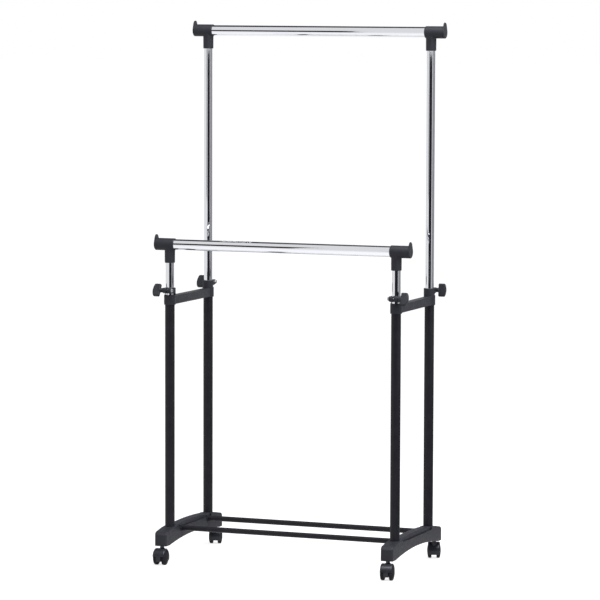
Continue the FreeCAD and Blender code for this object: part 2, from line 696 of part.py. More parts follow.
def make_end_cap(hanger, side):
    """The cap on a rail's end: a disc with a raised lip, and a plug inside the rail."""
    end = HANGERS[hanger]
    turn = 0.0 if SIDES[side] > 0 else 180.0
    body = new_body(f"end_cap_{end}_{side}", post_x(side), post_y(end), f"{hanger}_rail_height", turn)
    disc = new_sketch(body, "YZ_Plane", ("0", "0", "tee_outboard"))
    rounded_slot(disc, "0", "tee_sleeve_diameter / 2", "cap_lip_centre", "cap_lip_radius")
    pad(disc, "cap_thickness")
    face = DIMENSIONS["tee_outboard"] + DIMENSIONS["cap_thickness"]
    dress("PartDesign::Fillet", body, "1.4", lambda edge: edge.BoundBox.XMin > face - 0.01)
    plug = new_sketch(body, "YZ_Plane", ("0", "0", "tee_outboard"))
    circle(plug, "0", "0", "rail_diameter / 2 - rail_wall - fit_gap")
    circle(plug, "0", "0", "rail_diameter / 2 - rail_wall - 2")
    pad(plug, "cap_plug_depth", backwards=True)
    collar = new_sketch(body, "YZ_Plane", ("0", "0", "tee_outboard"))
    circle(collar, "0", "0", "rail_diameter / 2 - fit_gap")
    pad(collar, "tee_outboard - rail_overhang - fit_gap", backwards=True)


# --- Casters --------------------------------------------------------------------------------------


def caster_body(piece, end, side):
    """A body on the caster's stem axis, turned so that its own +Y is the way it trails."""
    heading = CASTER_HEADINGS[(end, side)]
    return new_body(f"caster_{end}_{side}_{piece}", post_x(side), f"{ENDS[end]} * caster_y", turn=heading)


def make_caster_hood(end, side):
    """The caster's frame: a web between the wheels, a hood over them and a boss for the stem."""
    body = caster_body("hood", end, side)
    drum = new_sketch(body, "YZ_Plane")
    circle(drum, "caster_trail", "wheel_radius", "hood_radius")
    pad(drum, "2 * hood_half_width", symmetric=True)
    dress("PartDesign::Fillet", body, "hood_round", lambda edge: is_circle(edge, DIMENSIONS["hood_radius"]))
    for outward in (1, -1):
        well = new_sketch(body, "YZ_Plane", ("0", "0", f"{outward} * web_half_width"))
        circle(well, "caster_trail", "wheel_radius", "hood_well_radius")
        pocket(well, "hood_half_width", backwards=outward > 0)
        # the hood stops short on the trailing side, where the wheel shows
        gap = new_sketch(body, "YZ_Plane", ("0", "0", f"{outward} * web_half_width"))
        rectangle(gap, "caster_trail", "-1", "caster_trail + 2 * hood_radius", "hood_trailing_edge")
        pocket(gap, "hood_half_width", backwards=outward > 0)
    below = new_sketch(body, "YZ_Plane")
    reach = "2 * hood_radius"
    rectangle(below, f"caster_trail - {reach}", "-10", f"caster_trail + {reach}", "hood_floor")
    pocket(below, "4 * hood_half_width", symmetric=True)
    boss = new_sketch(body, "XY_Plane", ("0", "0", "stem_bottom - 3"))
    circle(boss, "0", "0", "stem_diameter / 2 + 2.2")
    pad(boss, "wheel_radius + hood_radius - stem_bottom + 3")
    bore = new_sketch(body, "XY_Plane", ("0", "0", "stem_bottom"))
    circle(bore, "0", "0", "stem_diameter / 2")
    pocket(bore, "hood_radius * 2", backwards=True)
    # the stem's boss must not reach into the wheels' wells
    for outward in (1, -1):
        clear = new_sketch(body, "YZ_Plane", ("0", "0", f"{outward} * web_half_width"))
        circle(clear, "caster_trail", "wheel_radius", "hood_well_radius")
        pocket(clear, "4", backwards=outward > 0)
    axle = new_sketch(body, "YZ_Plane")
    circle(axle, "caster_trail", "wheel_radius", "axle_diameter / 2")
    pocket(axle, "4 * hood_half_width", symmetric=True)


def make_caster_stem(end, side):
    """The steel stem, with a neck above the hood and a grip groove near its top."""
    body = caster_body("stem", end, side)
    radius = "stem_diameter / 2"
    neck = "stem_neck_diameter / 2"
    hood_top = "wheel_radius + hood_radius"
    section = new_sketch(body, "XZ_Plane")
    outline(section, [
        ("0", "stem_bottom"), (radius, "stem_bottom"), (radius, hood_top), (neck, hood_top),
        (neck, "foot_underside - 0.4"), (radius, "foot_underside - 0.4"),
        (radius, "stem_top - 12"), (f"{radius} - 1", "stem_top - 11"),
        (f"{radius} - 1", "stem_top - 8"), (radius, "stem_top - 7"),
        (radius, "stem_top - 2"), (f"{radius} - 2", "stem_top"), ("0", "stem_top"),
    ])
    revolve(section)


def make_caster_axle(end, side):
    body = caster_body("axle", end, side)
    sketch = new_sketch(body, "YZ_Plane")
    circle(sketch, "caster_trail", "wheel_radius", "axle_diameter / 2")
    pad(sketch, "2 * axle_half_length", symmetric=True)


def make_caster_wheel(end, side, name, away):
    """One of the twin wheels: a rounded tread and a domed outer face with a blind axle bore.

    The inner wheel is the one nearer the rack's middle, whichever way the caster is turned.
    """
    body = caster_body(f"wheel_{name}", end, side)
    outward = away * SIDES[side] * round(math.cos(math.radians(CASTER_HEADINGS[(end, side)])))
    section = new_sketch(body, "XY_Plane", ("0", "caster_trail", "wheel_radius"))
    bore = "axle_diameter / 2 + fit_gap"
    tread = "wheel_radius - wheel_tread_edge"

    def at(x, y):
        return (f"{outward} * ( {x} )", y)

    outline(section, [
        at("wheel_inner", bore),
        at("wheel_inner", "wheel_radius - 1.5"),
        at("wheel_inner + 1.5", "wheel_radius"),
        at("wheel_outer - wheel_tread_edge", "wheel_radius"),
        at("wheel_outer - 1", f"{tread} + 2"),
        at("wheel_outer", tread),
        at("wheel_outer + 1.2", f"{tread} * 0.72"),
        at("wheel_dome - 0.3", f"{tread} * 0.36"),
        at("wheel_dome", "1"),
        at("wheel_dome", "0"),
        at("axle_half_length + 0.4", "0"),
        at("axle_half_length + 0.4", bore),
    ])
    revolve(section, axis="H_Axis")


# --- Assembly -------------------------------------------------------------------------------------

for side in SIDES:
    make_foot(side)
    make_bracket(side)
    for end in ENDS:
        make_post(end, side)
        make_post_plug(end, side)
        make_clamp_bolt(end, side)
        make_wing_knob(end, side)
        make_caster_hood(end, side)
        make_caster_stem(end, side)
        make_caster_axle(end, side)
        make_caster_wheel(end, side, "inner", -1)
        make_caster_wheel(end, side, "outer", 1)
    for hanger in HANGERS:
        make_slide_tube(hanger, side)
        make_guide_bush(hanger, side)
        make_tee(hanger, side)
        make_end_cap(hanger, side)
for end in ENDS:
    make_spreader(end)
for hanger in HANGERS:
    make_rail(hanger)
make_screws()
doc.recompute()

for item in doc.Objects:
    if {"Invalid", "Error"} & set(item.State):
        raise RuntimeError(f"{item.Label} did not build: {item.State}")
for body in sub_parts:
    if body.Shape.isNull() or not body.Shape.isValid() or len(body.Shape.Solids) != 1:
        raise RuntimeError(f"{body.Label} is not one valid solid")

# Identical fasteners share a file, as a group of separate solids.
FASTENER_GROUPS = ("clamp_bolt", "post_screw", "spreader_screw")
os.makedirs("parts", exist_ok=True)
for body in sub_parts:
    if not body.Label.startswith(FASTENER_GROUPS):
        body.Shape.exportStep(f"parts/{body.Label}.step")
for group in FASTENER_GROUPS:
    members = [body.Shape for body in sub_parts if body.Label.startswith(group)]
    Part.makeCompound(members).exportStep(f"parts/{group}s.step")
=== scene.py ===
import json
import math

import bmesh
import bpy
from mathutils import Matrix, Vector


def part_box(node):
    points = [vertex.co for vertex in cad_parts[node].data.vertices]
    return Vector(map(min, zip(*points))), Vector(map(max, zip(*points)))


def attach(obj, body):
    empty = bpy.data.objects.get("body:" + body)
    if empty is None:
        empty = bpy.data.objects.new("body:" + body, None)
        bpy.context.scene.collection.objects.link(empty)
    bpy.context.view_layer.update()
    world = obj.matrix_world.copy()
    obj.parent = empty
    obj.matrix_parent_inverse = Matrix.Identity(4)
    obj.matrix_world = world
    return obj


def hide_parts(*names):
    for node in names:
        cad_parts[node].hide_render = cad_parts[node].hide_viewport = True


# The looks of a double-rail rolling clothes rack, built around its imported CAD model.
# Metres, +Z up, X across the width (left is -X), Y along the depth (front is -Y).

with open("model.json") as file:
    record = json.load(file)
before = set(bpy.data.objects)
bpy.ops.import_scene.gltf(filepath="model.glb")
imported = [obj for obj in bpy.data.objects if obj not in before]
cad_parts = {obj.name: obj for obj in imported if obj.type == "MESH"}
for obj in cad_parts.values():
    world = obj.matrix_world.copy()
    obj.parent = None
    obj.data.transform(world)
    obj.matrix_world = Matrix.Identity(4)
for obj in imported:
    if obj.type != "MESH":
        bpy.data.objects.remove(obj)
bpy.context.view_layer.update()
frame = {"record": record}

MM = 0.001
SIDES = {"left": -1, "right": 1}
ENDS = {"front": -1, "rear": 1}
HANGERS = {"front": "lower", "rear": "upper"}
BODY_OF = {node: body for body, nodes in frame["record"]["behaviour"]["bodies"].items() for node in nodes}
SLOT_OF = {part["node"]: part["material_slot"] for part in frame["record"]["subparts"]}

# the camera, turned from straight ahead towards the rack's right side and looking a little down
CAMERA_YAW = math.radians(21.344)
CAMERA_PITCH = math.radians(5.196)
CAMERA_ROLL = math.radians(0.187)
CAMERA_DISTANCE = 10.295
CAMERA_AIM = (0.0007, 0.0003, 0.7782)
CAMERA_LENS = 209.6
CAMERA_SENSOR = 36.0


# --- Mesh tools -----------------------------------------------------------------------------------


def centre(node):
    low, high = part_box(node)
    return (low + high) / 2


def size(node):
    low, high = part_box(node)
    return high - low


def link(name, mesh):
    piece = bpy.data.objects.new(name, mesh)
    bpy.context.scene.collection.objects.link(piece)
    return piece


def solid(name, vertices, faces):
    """A closed mesh object with its faces turned outwards."""
    mesh = bpy.data.meshes.new(name)
    mesh.from_pydata([tuple(v) for v in vertices], [], faces)
    work = bmesh.new()
    work.from_mesh(mesh)
    bmesh.ops.recalc_face_normals(work, faces=work.faces)
    work.to_mesh(mesh)
    work.free()
    return link(name, mesh)


def rounded(corners, steps=4):
    """Points of a closed outline whose corners (x, y, radius) are rounded."""
    points = []
    for index, (x, y, radius) in enumerate(corners):
        here = Vector((x, y))
        if radius == 0:
            points.append(here)
            continue
        back = (Vector(corners[index - 1][:2]) - here).normalized()
        ahead = (Vector(corners[(index + 1) % len(corners)][:2]) - here).normalized()
        half = back.angle(ahead) / 2
        middle = here + (back + ahead).normalized() * radius / math.sin(half)
        start = here + back * radius / math.tan(half) - middle
        end = here + ahead * radius / math.tan(half) - middle
        sweep = math.atan2(start.cross(end), start.dot(end))
        for step in range(steps + 1):
            turn = Matrix.Rotation(sweep * step / steps, 2)
            points.append(middle + turn @ start)
    return points


def arc(middle, radius, start, end, steps):
    """Points on a circle from one angle to another, in degrees."""
    angles = [math.radians(start + (end - start) * step / steps) for step in range(steps + 1)]
    return [Vector((middle[0] + radius * math.cos(a), middle[1] + radius * math.sin(a))) for a in angles]


def lathe(name, profile, segments=72, ring=True):
    """Turns (radius, height) points about Z.

    A ring's profile closes on itself. Any other profile starts and ends on the axis.
    """
    vertices, faces, rows = [], [], []
    for radius, height in profile:
        count = segments if radius > 1e-7 else 1
        rows.append([len(vertices) + k for k in range(count)])
        for k in range(count):
            angle = 2 * math.pi * k / segments
            vertices.append((radius * math.cos(angle), radius * math.sin(angle), height))
    pairs = list(zip(rows, rows[1:]))
    if ring:
        pairs.append((rows[-1], rows[0]))
    for lower, upper in pairs:
        for k in range(segments):
            after = (k + 1) % segments
            corners = [lower[k % len(lower)], lower[after % len(lower)]]
            corners += [upper[after % len(upper)], upper[k % len(upper)]]
            face = list(dict.fromkeys(corners))
            if len(face) > 2:
                faces.append(face)
    return solid(name, vertices, faces)


def inset(points, distance):
    """The closed anticlockwise outline moved inwards."""
    moved = []
    for index, point in enumerate(points):
        back = (point - points[index - 1]).normalized()
        ahead = (points[(index + 1) % len(points)] - point).normalized()
        back_normal = Vector((-back.y, back.x))
        normal = (back_normal + Vector((-ahead.y, ahead.x))).normalized()
        moved.append(point + normal * distance / max(0.4, normal.dot(back_normal)))
    return moved


def prism(name, outline, low, high, low_edge, high_edge, steps=4):
    """The outline raised from low to high. Each edge (inset, height) is an elliptical round."""
    levels = []
    for step in range(steps + 1):
        angle = math.pi / 2 * step / steps
        levels.append((low_edge[0] * (1 - math.sin(angle)), low + low_edge[1] * (1 - math.cos(angle))))
    for step in range(steps + 1):
        angle = math.pi / 2 * step / steps
        levels.append((high_edge[0] * (1 - math.cos(angle)), high - high_edge[1] * (1 - math.sin(angle))))
    levels = [level for index, level in enumerate(levels) if index == 0 or level != levels[index - 1]]
    vertices, faces = [], []
    count = len(outline)
    for distance, height in levels:
        vertices += [(p.x, p.y, height) for p in inset(outline, distance)]
    for row in range(len(levels) - 1):
        for k in range(count):
            after = (k + 1) % count
            base = row * count
            faces.append((base + k, base + after, base + count + after, base + count + k))
    faces.append(tuple(range(count)))
    faces.append(tuple((len(levels) - 1) * count + k for k in range(count)))
    return solid(name, vertices, faces)


def bar(x0, x1, y0, y1, z0, z1, corner=0.0):
    """A block with its upright edges rounded."""
    outline = rounded([(x0, y0, corner), (x1, y0, corner), (x1, y1, corner), (x0, y1, corner)])
    return prism("block", outline, z0, z1, (0, 0), (0, 0), steps=1)


def rod(radius, z0, z1, segments=72, edge=0.0):
    """A solid round bar along Z."""
    profile = [
        (0, z0), (radius - edge, z0), (radius, z0 + edge),
        (radius, z1 - edge), (radius - edge, z1), (0, z1),
    ]
    profile = [p for index, p in enumerate(profile) if index == 0 or p != profile[index - 1]]
    return lathe("rod", profile, segments, ring=False)


ALONG_X = Matrix.Rotation(math.pi / 2, 4, "Y")


def facing_x(sign):
    """Lays a piece's own +Z along +X, or along -X for a negative sign."""
    return ALONG_X if sign > 0 else Matrix.Rotation(math.pi, 4, "Z") @ ALONG_X


def moved(piece, x=0.0, y=0.0, z=0.0, turn=None):
    """Moves the mesh itself, after turning it."""
    piece.data.transform(Matrix.Translation((x, y, z)) @ (turn or Matrix.Identity(4)))
    return piece


def settle(piece):
    """Applies the modifiers."""
    bpy.context.view_layer.update()
    mesh = bpy.data.meshes.new_from_object(piece.evaluated_get(bpy.context.evaluated_depsgraph_get()))
    piece.modifiers.clear()
    piece.data = mesh
    return piece


def close_seams(piece):
    """Merges points that a boolean left a hair apart, so that the solid stays closed for the next one."""
    work = bmesh.new()
    work.from_mesh(piece.data)
    bmesh.ops.remove_doubles(work, verts=work.verts, dist=0.001 * MM)
    bmesh.ops.recalc_face_normals(work, faces=work.faces)
    work.to_mesh(piece.data)
    work.free()


def combine(piece, operation, *tools):
    for tool in tools:
        modifier = piece.modifiers.new("combine", "BOOLEAN")
        modifier.solver = "EXACT"
        modifier.operation = operation
        modifier.object = tool
        settle(piece)
        close_seams(piece)
        bpy.data.objects.remove(tool)
    return piece


def add(piece, *tools):
    return combine(piece, "UNION", *tools)


def cut(piece, *tools):
    return combine(piece, "DIFFERENCE", *tools)


def gather(name, pieces):
    """Several separate solids as one object."""
    work = bmesh.new()
    for piece in pieces:
        piece.data.transform(piece.matrix_world)
        work.from_mesh(piece.data)
        bpy.data.objects.remove(piece)
    mesh = bpy.data.meshes.new(name)
    work.to_mesh(mesh)
    work.free()
    return link(name, mesh)


def soften(piece, width=0.0, angle=35.0, segments=2):
    """Rounds the sharp edges a little, and shades the piece smooth with flat faces kept flat."""
    if width:
        bevel = piece.modifiers.new("soft_edges", "BEVEL")
        bevel.width = width
        bevel.segments = segments
        bevel.limit_method = "ANGLE"
        bevel.angle_limit = math.radians(angle)
        bevel.use_clamp_overlap = False
        bevel.miter_outer = "MITER_ARC"
        settle(piece)
    piece.data.shade_smooth()
    piece.data.set_sharp_from_angle(angle=math.radians(50))
    weighted = piece.modifiers.new("even_shading", "WEIGHTED_NORMAL")
    weighted.keep_sharp = True
    weighted.weight = 80
    return settle(piece)


def place(piece, node, matrix, *more_nodes):
    """Puts a finished piece where its CAD node is, on the node's body, in the node's finish."""
    piece.name = f"{node}_look"
    piece.data.name = piece.name
    piece.matrix_world = matrix
    piece.data.materials.clear()
    piece.data.materials.append(MATERIALS[SLOT_OF[node]])
    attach(piece, BODY_OF[node])
    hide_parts(node, *more_nodes)
    return piece


# --- Materials ------------------------------------------------------------------------------------


def finish(name, tones, roughness, grain, metallic=0.0, specular=0.5, coat=0.0, stretch=1.0, wear=None):
    """A procedural finish.

    tones: two close colours that drift into each other over a few centimetres.
    roughness: lowest and highest.
    grain: size in metres and depth in metres of the surface's texture.
    stretch: how far the texture is drawn out along the piece's own Z.
    wear: None, or a colour for scuffs on the rim of a wheel of radius wear[1], turned about its own Z.
    """
    material = bpy.data.materials.new(name)
    material.use_nodes = True
    nodes, wires = material.node_tree.nodes, material.node_tree.links
    shader = nodes["Principled BSDF"]
    shader.inputs["Metallic"].default_value = metallic
    shader.inputs["Specular IOR Level"].default_value = specular
    shader.inputs["Coat Weight"].default_value = coat
    shader.inputs["Coat Roughness"].default_value = 0.25
    place_node = nodes.new("ShaderNodeTexCoord")
    mapping = nodes.new("ShaderNodeMapping")
    mapping.inputs["Scale"].default_value = (1.0, 1.0, 1.0 / stretch)
    wires.new(place_node.outputs["Object"], mapping.inputs["Vector"])

    def noise(scale, detail):
        node = nodes.new("ShaderNodeTexNoise")
        node.inputs["Scale"].default_value = scale
        node.inputs["Detail"].default_value = detail
        wires.new(mapping.outputs["Vector"], node.inputs["Vector"])
        return node.outputs["Fac"]

    def spread(source, low, high, start=0.3, end=0.7):
        node = nodes.new("ShaderNodeMapRange")
        for socket, number in (("From Min", start), ("From Max", end), ("To Min", low), ("To Max", high)):
            node.inputs[socket].default_value = number
        wires.new(source, node.inputs["Value"])
        return node.outputs["Result"]

    def mix(factor, first, second):
        node = nodes.new("ShaderNodeMix")
        node.data_type = "RGBA"
        wires.new(factor, node.inputs["Factor"])
        for socket, colour in ((6, first), (7, second)):
            if isinstance(colour, tuple):
                node.inputs[socket].default_value = (*colour, 1.0)
            else:
                wires.new(colour, node.inputs[socket])
        return node.outputs[2]

    colour = mix(spread(noise(45.0, 4.0), 0.0, 1.0), *tones)
    rough = spread(noise(110.0, 5.0), *roughness)
    if wear:
        scuff_colour, radius = wear
        split = nodes.new("ShaderNodeSeparateXYZ")
        wires.new(place_node.outputs["Object"], split.inputs["Vector"])
        reach = nodes.new("ShaderNodeMath")
        reach.operation = "POWER"
        squares = []
        for axis in ("X", "Y"):
            square = nodes.new("ShaderNodeMath")
            square.operation = "MULTIPLY"
            wires.new(split.outputs[axis], square.inputs[0])
            wires.new(split.outputs[axis], square.inputs[1])
            squares.append(square.outputs["Value"])
        total = nodes.new("ShaderNodeMath")
        wires.new(squares[0], total.inputs[0])
        wires.new(squares[1], total.inputs[1])
        wires.new(total.outputs["Value"], reach.inputs[0])
        reach.inputs[1].default_value = 0.5
        rim = spread(reach.outputs["Value"], 0.0, 1.0, radius * 0.93, radius * 0.995)
        patches = nodes.new("ShaderNodeMath")
        patches.operation = "MULTIPLY"
        wires.new(rim, patches.inputs[0])
        wires.new(spread(noise(420.0, 6.0), 0.0, 0.8, 0.48, 0.66), patches.inputs[1])
        colour = mix(patches.outputs["Value"], colour, scuff_colour)
    wires.new(colour, shader.inputs["Base Color"])
    wires.new(rough, shader.inputs["Roughness"])
    bump = nodes.new("ShaderNodeBump")
    bump.inputs["Distance"].default_value = grain[1]
    bump.inputs["Strength"].default_value = 1.0
    wires.new(noise(1.0 / grain[0], 3.0), bump.inputs["Height"])
    wires.new(bump.outputs["Normal"], shader.inputs["Normal"])
    return material


WHEEL_RADIUS = 22.5 * MM
MATERIALS = {
    "chrome_plate": finish(
        "chrome_plate", ((0.66, 0.675, 0.71), (0.69, 0.70, 0.73)), (0.035, 0.075), (0.7 * MM, 0.00025 * MM),
        metallic=1.0, stretch=60.0,
    ),
    "black_paint": finish(
        "black_paint", ((0.0065, 0.0066, 0.0088), (0.0088, 0.009, 0.0118)), (0.34, 0.44),
        (0.9 * MM, 0.012 * MM), specular=0.13,
    ),
    "moulded_black": finish(
        "moulded_black", ((0.0125, 0.0129, 0.0168), (0.0155, 0.016, 0.0205)), (0.44, 0.56),
        (0.45 * MM, 0.03 * MM), specular=0.14,
    ),
    "knob_plastic": finish(
        "knob_plastic", ((0.012, 0.013, 0.0165), (0.0155, 0.017, 0.021)), (0.38, 0.5), (0.4 * MM, 0.02 * MM),
        specular=0.16,
    ),
    "hood_plastic": finish(
        "hood_plastic", ((0.0085, 0.009, 0.013), (0.012, 0.0125, 0.0175)), (0.26, 0.36),
        (0.6 * MM, 0.012 * MM), specular=0.22,
    ),
    "wheel_plastic": finish(
        "wheel_plastic", ((0.007, 0.007, 0.009), (0.011, 0.011, 0.014)), (0.66, 0.78), (0.5 * MM, 0.015 * MM),
        specular=0.07, wear=((0.02, 0.0195, 0.019), WHEEL_RADIUS),
    ),
    "natural_plastic": finish(
        "natural_plastic", ((0.6, 0.59, 0.54), (0.66, 0.65, 0.61)), (0.4, 0.55), (0.5 * MM, 0.01 * MM),
    ),
    "zinc_steel": finish(
        "zinc_steel", ((0.26, 0.27, 0.29), (0.36, 0.36, 0.37)), (0.26, 0.42), (0.3 * MM, 0.004 * MM),
        metallic=1.0, stretch=6.0,
    ),
    "stem_steel": finish(
        "stem_steel", ((0.04, 0.04, 0.045), (0.065, 0.065, 0.07)), (0.3, 0.45), (0.4 * MM, 0.004 * MM),
        metallic=1.0, stretch=4.0,
    ),
}


# --- Tubes ----------------------------------------------------------------------------------------


def make_tube(node, axis, wall, edge):
    """A tube where the CAD node is, with its end edges eased."""
    length = size(node)[axis]
    radius = size(node)[(axis + 1) % 3] / 2
    profile = rounded([
        (radius, -length / 2, edge), (radius, length / 2, edge),
        (radius - wall, length / 2, edge), (radius - wall, -length / 2, edge),
    ], steps=3)
    tube = soften(lathe(node, profile, segments=96))
    turn = ALONG_X if axis == 0 else Matrix.Identity(4)
    return place(tube, node, Matrix.Translation(centre(node)) @ turn)


# --- Hanger fittings ------------------------------------------------------------------------------


def hanger_joint(end, side):
    """Where a rail's axis crosses a slide tube's axis, with +X turned outboard."""
    tube = centre(f"slide_tube_{end}_{side}")
    rail = centre(f"{HANGERS[end]}_rail")
    turn = Matrix.Identity(4) if SIDES[side] > 0 else Matrix.Rotation(math.pi, 4, "Z")
    return Matrix.Translation((tube.x, tube.y, rail.z)) @ turn


def outboard(node, end, side):
    """The node's lowest and highest corner about its hanger joint, with +X outboard."""
    back = hanger_joint(end, side).inverted()
    corners = [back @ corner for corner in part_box(node)]
    low = Vector(min(a, b) for a, b in zip(*corners))
    high = Vector(max(a, b) for a, b in zip(*corners))
    return low, high


def make_tee(end, side):
    """A sleeve round the rail and a socket round the slide tube, moulded in one."""
    node = f"t_connector_{end}_{side}"
    low, high = outboard(node, end, side)
    sleeve_radius = high.y
    rail_radius = size(f"{HANGERS[end]}_rail").z / 2 + 0.05 * MM
    tube_radius = size(f"slide_tube_{end}_{side}").x / 2 + 0.05 * MM
    tube_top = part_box(f"slide_tube_{end}_{side}")[1].z - centre(f"{HANGERS[end]}_rail").z
    socket_radius = tube_radius + 2.45 * MM
    sleeve = lathe("sleeve", [(0, low.x)] + [tuple(p) for p in arc(
        (sleeve_radius - 2.4 * MM, low.x + 2.4 * MM), 2.4 * MM, -90, 0, 6)] + [tuple(p) for p in arc(
            (sleeve_radius - 0.6 * MM, high.x - 0.6 * MM), 0.6 * MM, 0, 90, 3)] + [(0, high.x)],
        96, ring=False)
    moved(sleeve, turn=ALONG_X)
    socket = lathe("socket", [(0, low.z)] + [tuple(p) for p in arc(
        (socket_radius - 1.6 * MM, low.z + 1.6 * MM), 1.6 * MM, -90, 0, 5)]
        + [(socket_radius + 0.35 * MM, 0), (0, 0)],
        96, ring=False)
    tee = add(sleeve, socket)
    cut(
        tee,
        moved(rod(rail_radius, low.x - 1 * MM, high.x + 1 * MM, 96), turn=ALONG_X),
        rod(tube_radius, low.z - 1 * MM, tube_top, 96),
    )
    soften(tee, 0.9 * MM, segments=3)
    place(tee, node, hanger_joint(end, side))


def cap_outline(radius, lip_height, lip_radius):
    """A disc that rises into a rounded lip: two arcs joined by straight tangents."""
    lean = math.degrees(math.asin((radius - lip_radius) / lip_height))
    disc = arc((0, 0), radius, 180 - lean, 360 + lean, 40)
    return disc + arc((0, lip_height), lip_radius, lean, 180 - lean, 24)


def make_end_cap(end, side):
    """A crowned disc with a lip above, and a plug in the rail's end."""
    node = f"end_cap_{end}_{side}"
    low, high = outboard(node, end, side)
    sleeve_radius = outboard(f"t_connector_{end}_{side}", end, side)[1].y
    rail_radius = size(f"{HANGERS[end]}_rail").z / 2
    disc_back = outboard(f"t_connector_{end}_{side}", end, side)[1].x
    lip_radius = 12 * MM
    outline = cap_outline(sleeve_radius, high.z - lip_radius, lip_radius)
    disc = prism("disc", outline, disc_back, high.x, (0.5 * MM, 0.5 * MM), (3.2 * MM, 2.2 * MM), steps=7)
    # the outline's own X and Y become the rack's Y and Z
    disc.data.transform(Matrix(((0, 0, 1, 0), (1, 0, 0, 0), (0, 1, 0, 0), (0, 0, 0, 1))))
    plug = lathe("plug", rounded([
        (rail_radius - 3 * MM, low.x, 0.4 * MM), (rail_radius - 1.05 * MM, low.x, 0.6 * MM),
        (rail_radius - 1.05 * MM, disc_back + 1 * MM, 0), (rail_radius - 3 * MM, disc_back + 1 * MM, 0),
    ], steps=2), 72)
    cap = add(disc, moved(plug, turn=ALONG_X))
    soften(cap)
    place(cap, node, hanger_joint(end, side))


def make_guide_bush(end, side):
    """A flanged bush in a slide tube's lower end."""
    node = f"guide_bush_{end}_{side}"
    low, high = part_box(node)
    radius = (high.x - low.x) / 2
    inner = size(f"slide_tube_{end}_{side}").x / 2 - 0.9 * MM
    flange_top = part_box(f"slide_tube_{end}_{side}")[0].z - low.z
    height = high.z - low.z
    bush = lathe(node, rounded([
        (inner - 2 * MM, 0, 0.3 * MM), (radius, 0, 0.9 * MM), (radius, flange_top, 0.2 * MM),
        (inner, flange_top, 0), (inner, height, 0.8 * MM), (inner - 2 * MM, height, 0.3 * MM),
    ], steps=3), 72)
    place(soften(bush), node, Matrix.Translation((centre(node).x, centre(node).y, low.z)))


# --- Brackets, clamps and knobs -------------------------------------------------------------------

CLAMP_SLOT = (793.0 * MM, 798.6 * MM)
CLAMP_SLIT = 3.2 * MM
EAR_RADIUS = 7.5 * MM
EAR_HALF_LENGTH = 14.0 * MM
BOLT_RADIUS = 3.0 * MM


def clamp_axis(end, side):
    """The clamp bolt's axis, where it passes the post's centre plane."""
    post = centre(f"post_{end}_{side}")
    knob_low, knob_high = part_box(f"wing_knob_{end}_{side}")
    return Vector((post.x, (knob_low.y + knob_high.y) / 2, (knob_low.z + knob_high.z) / 2))


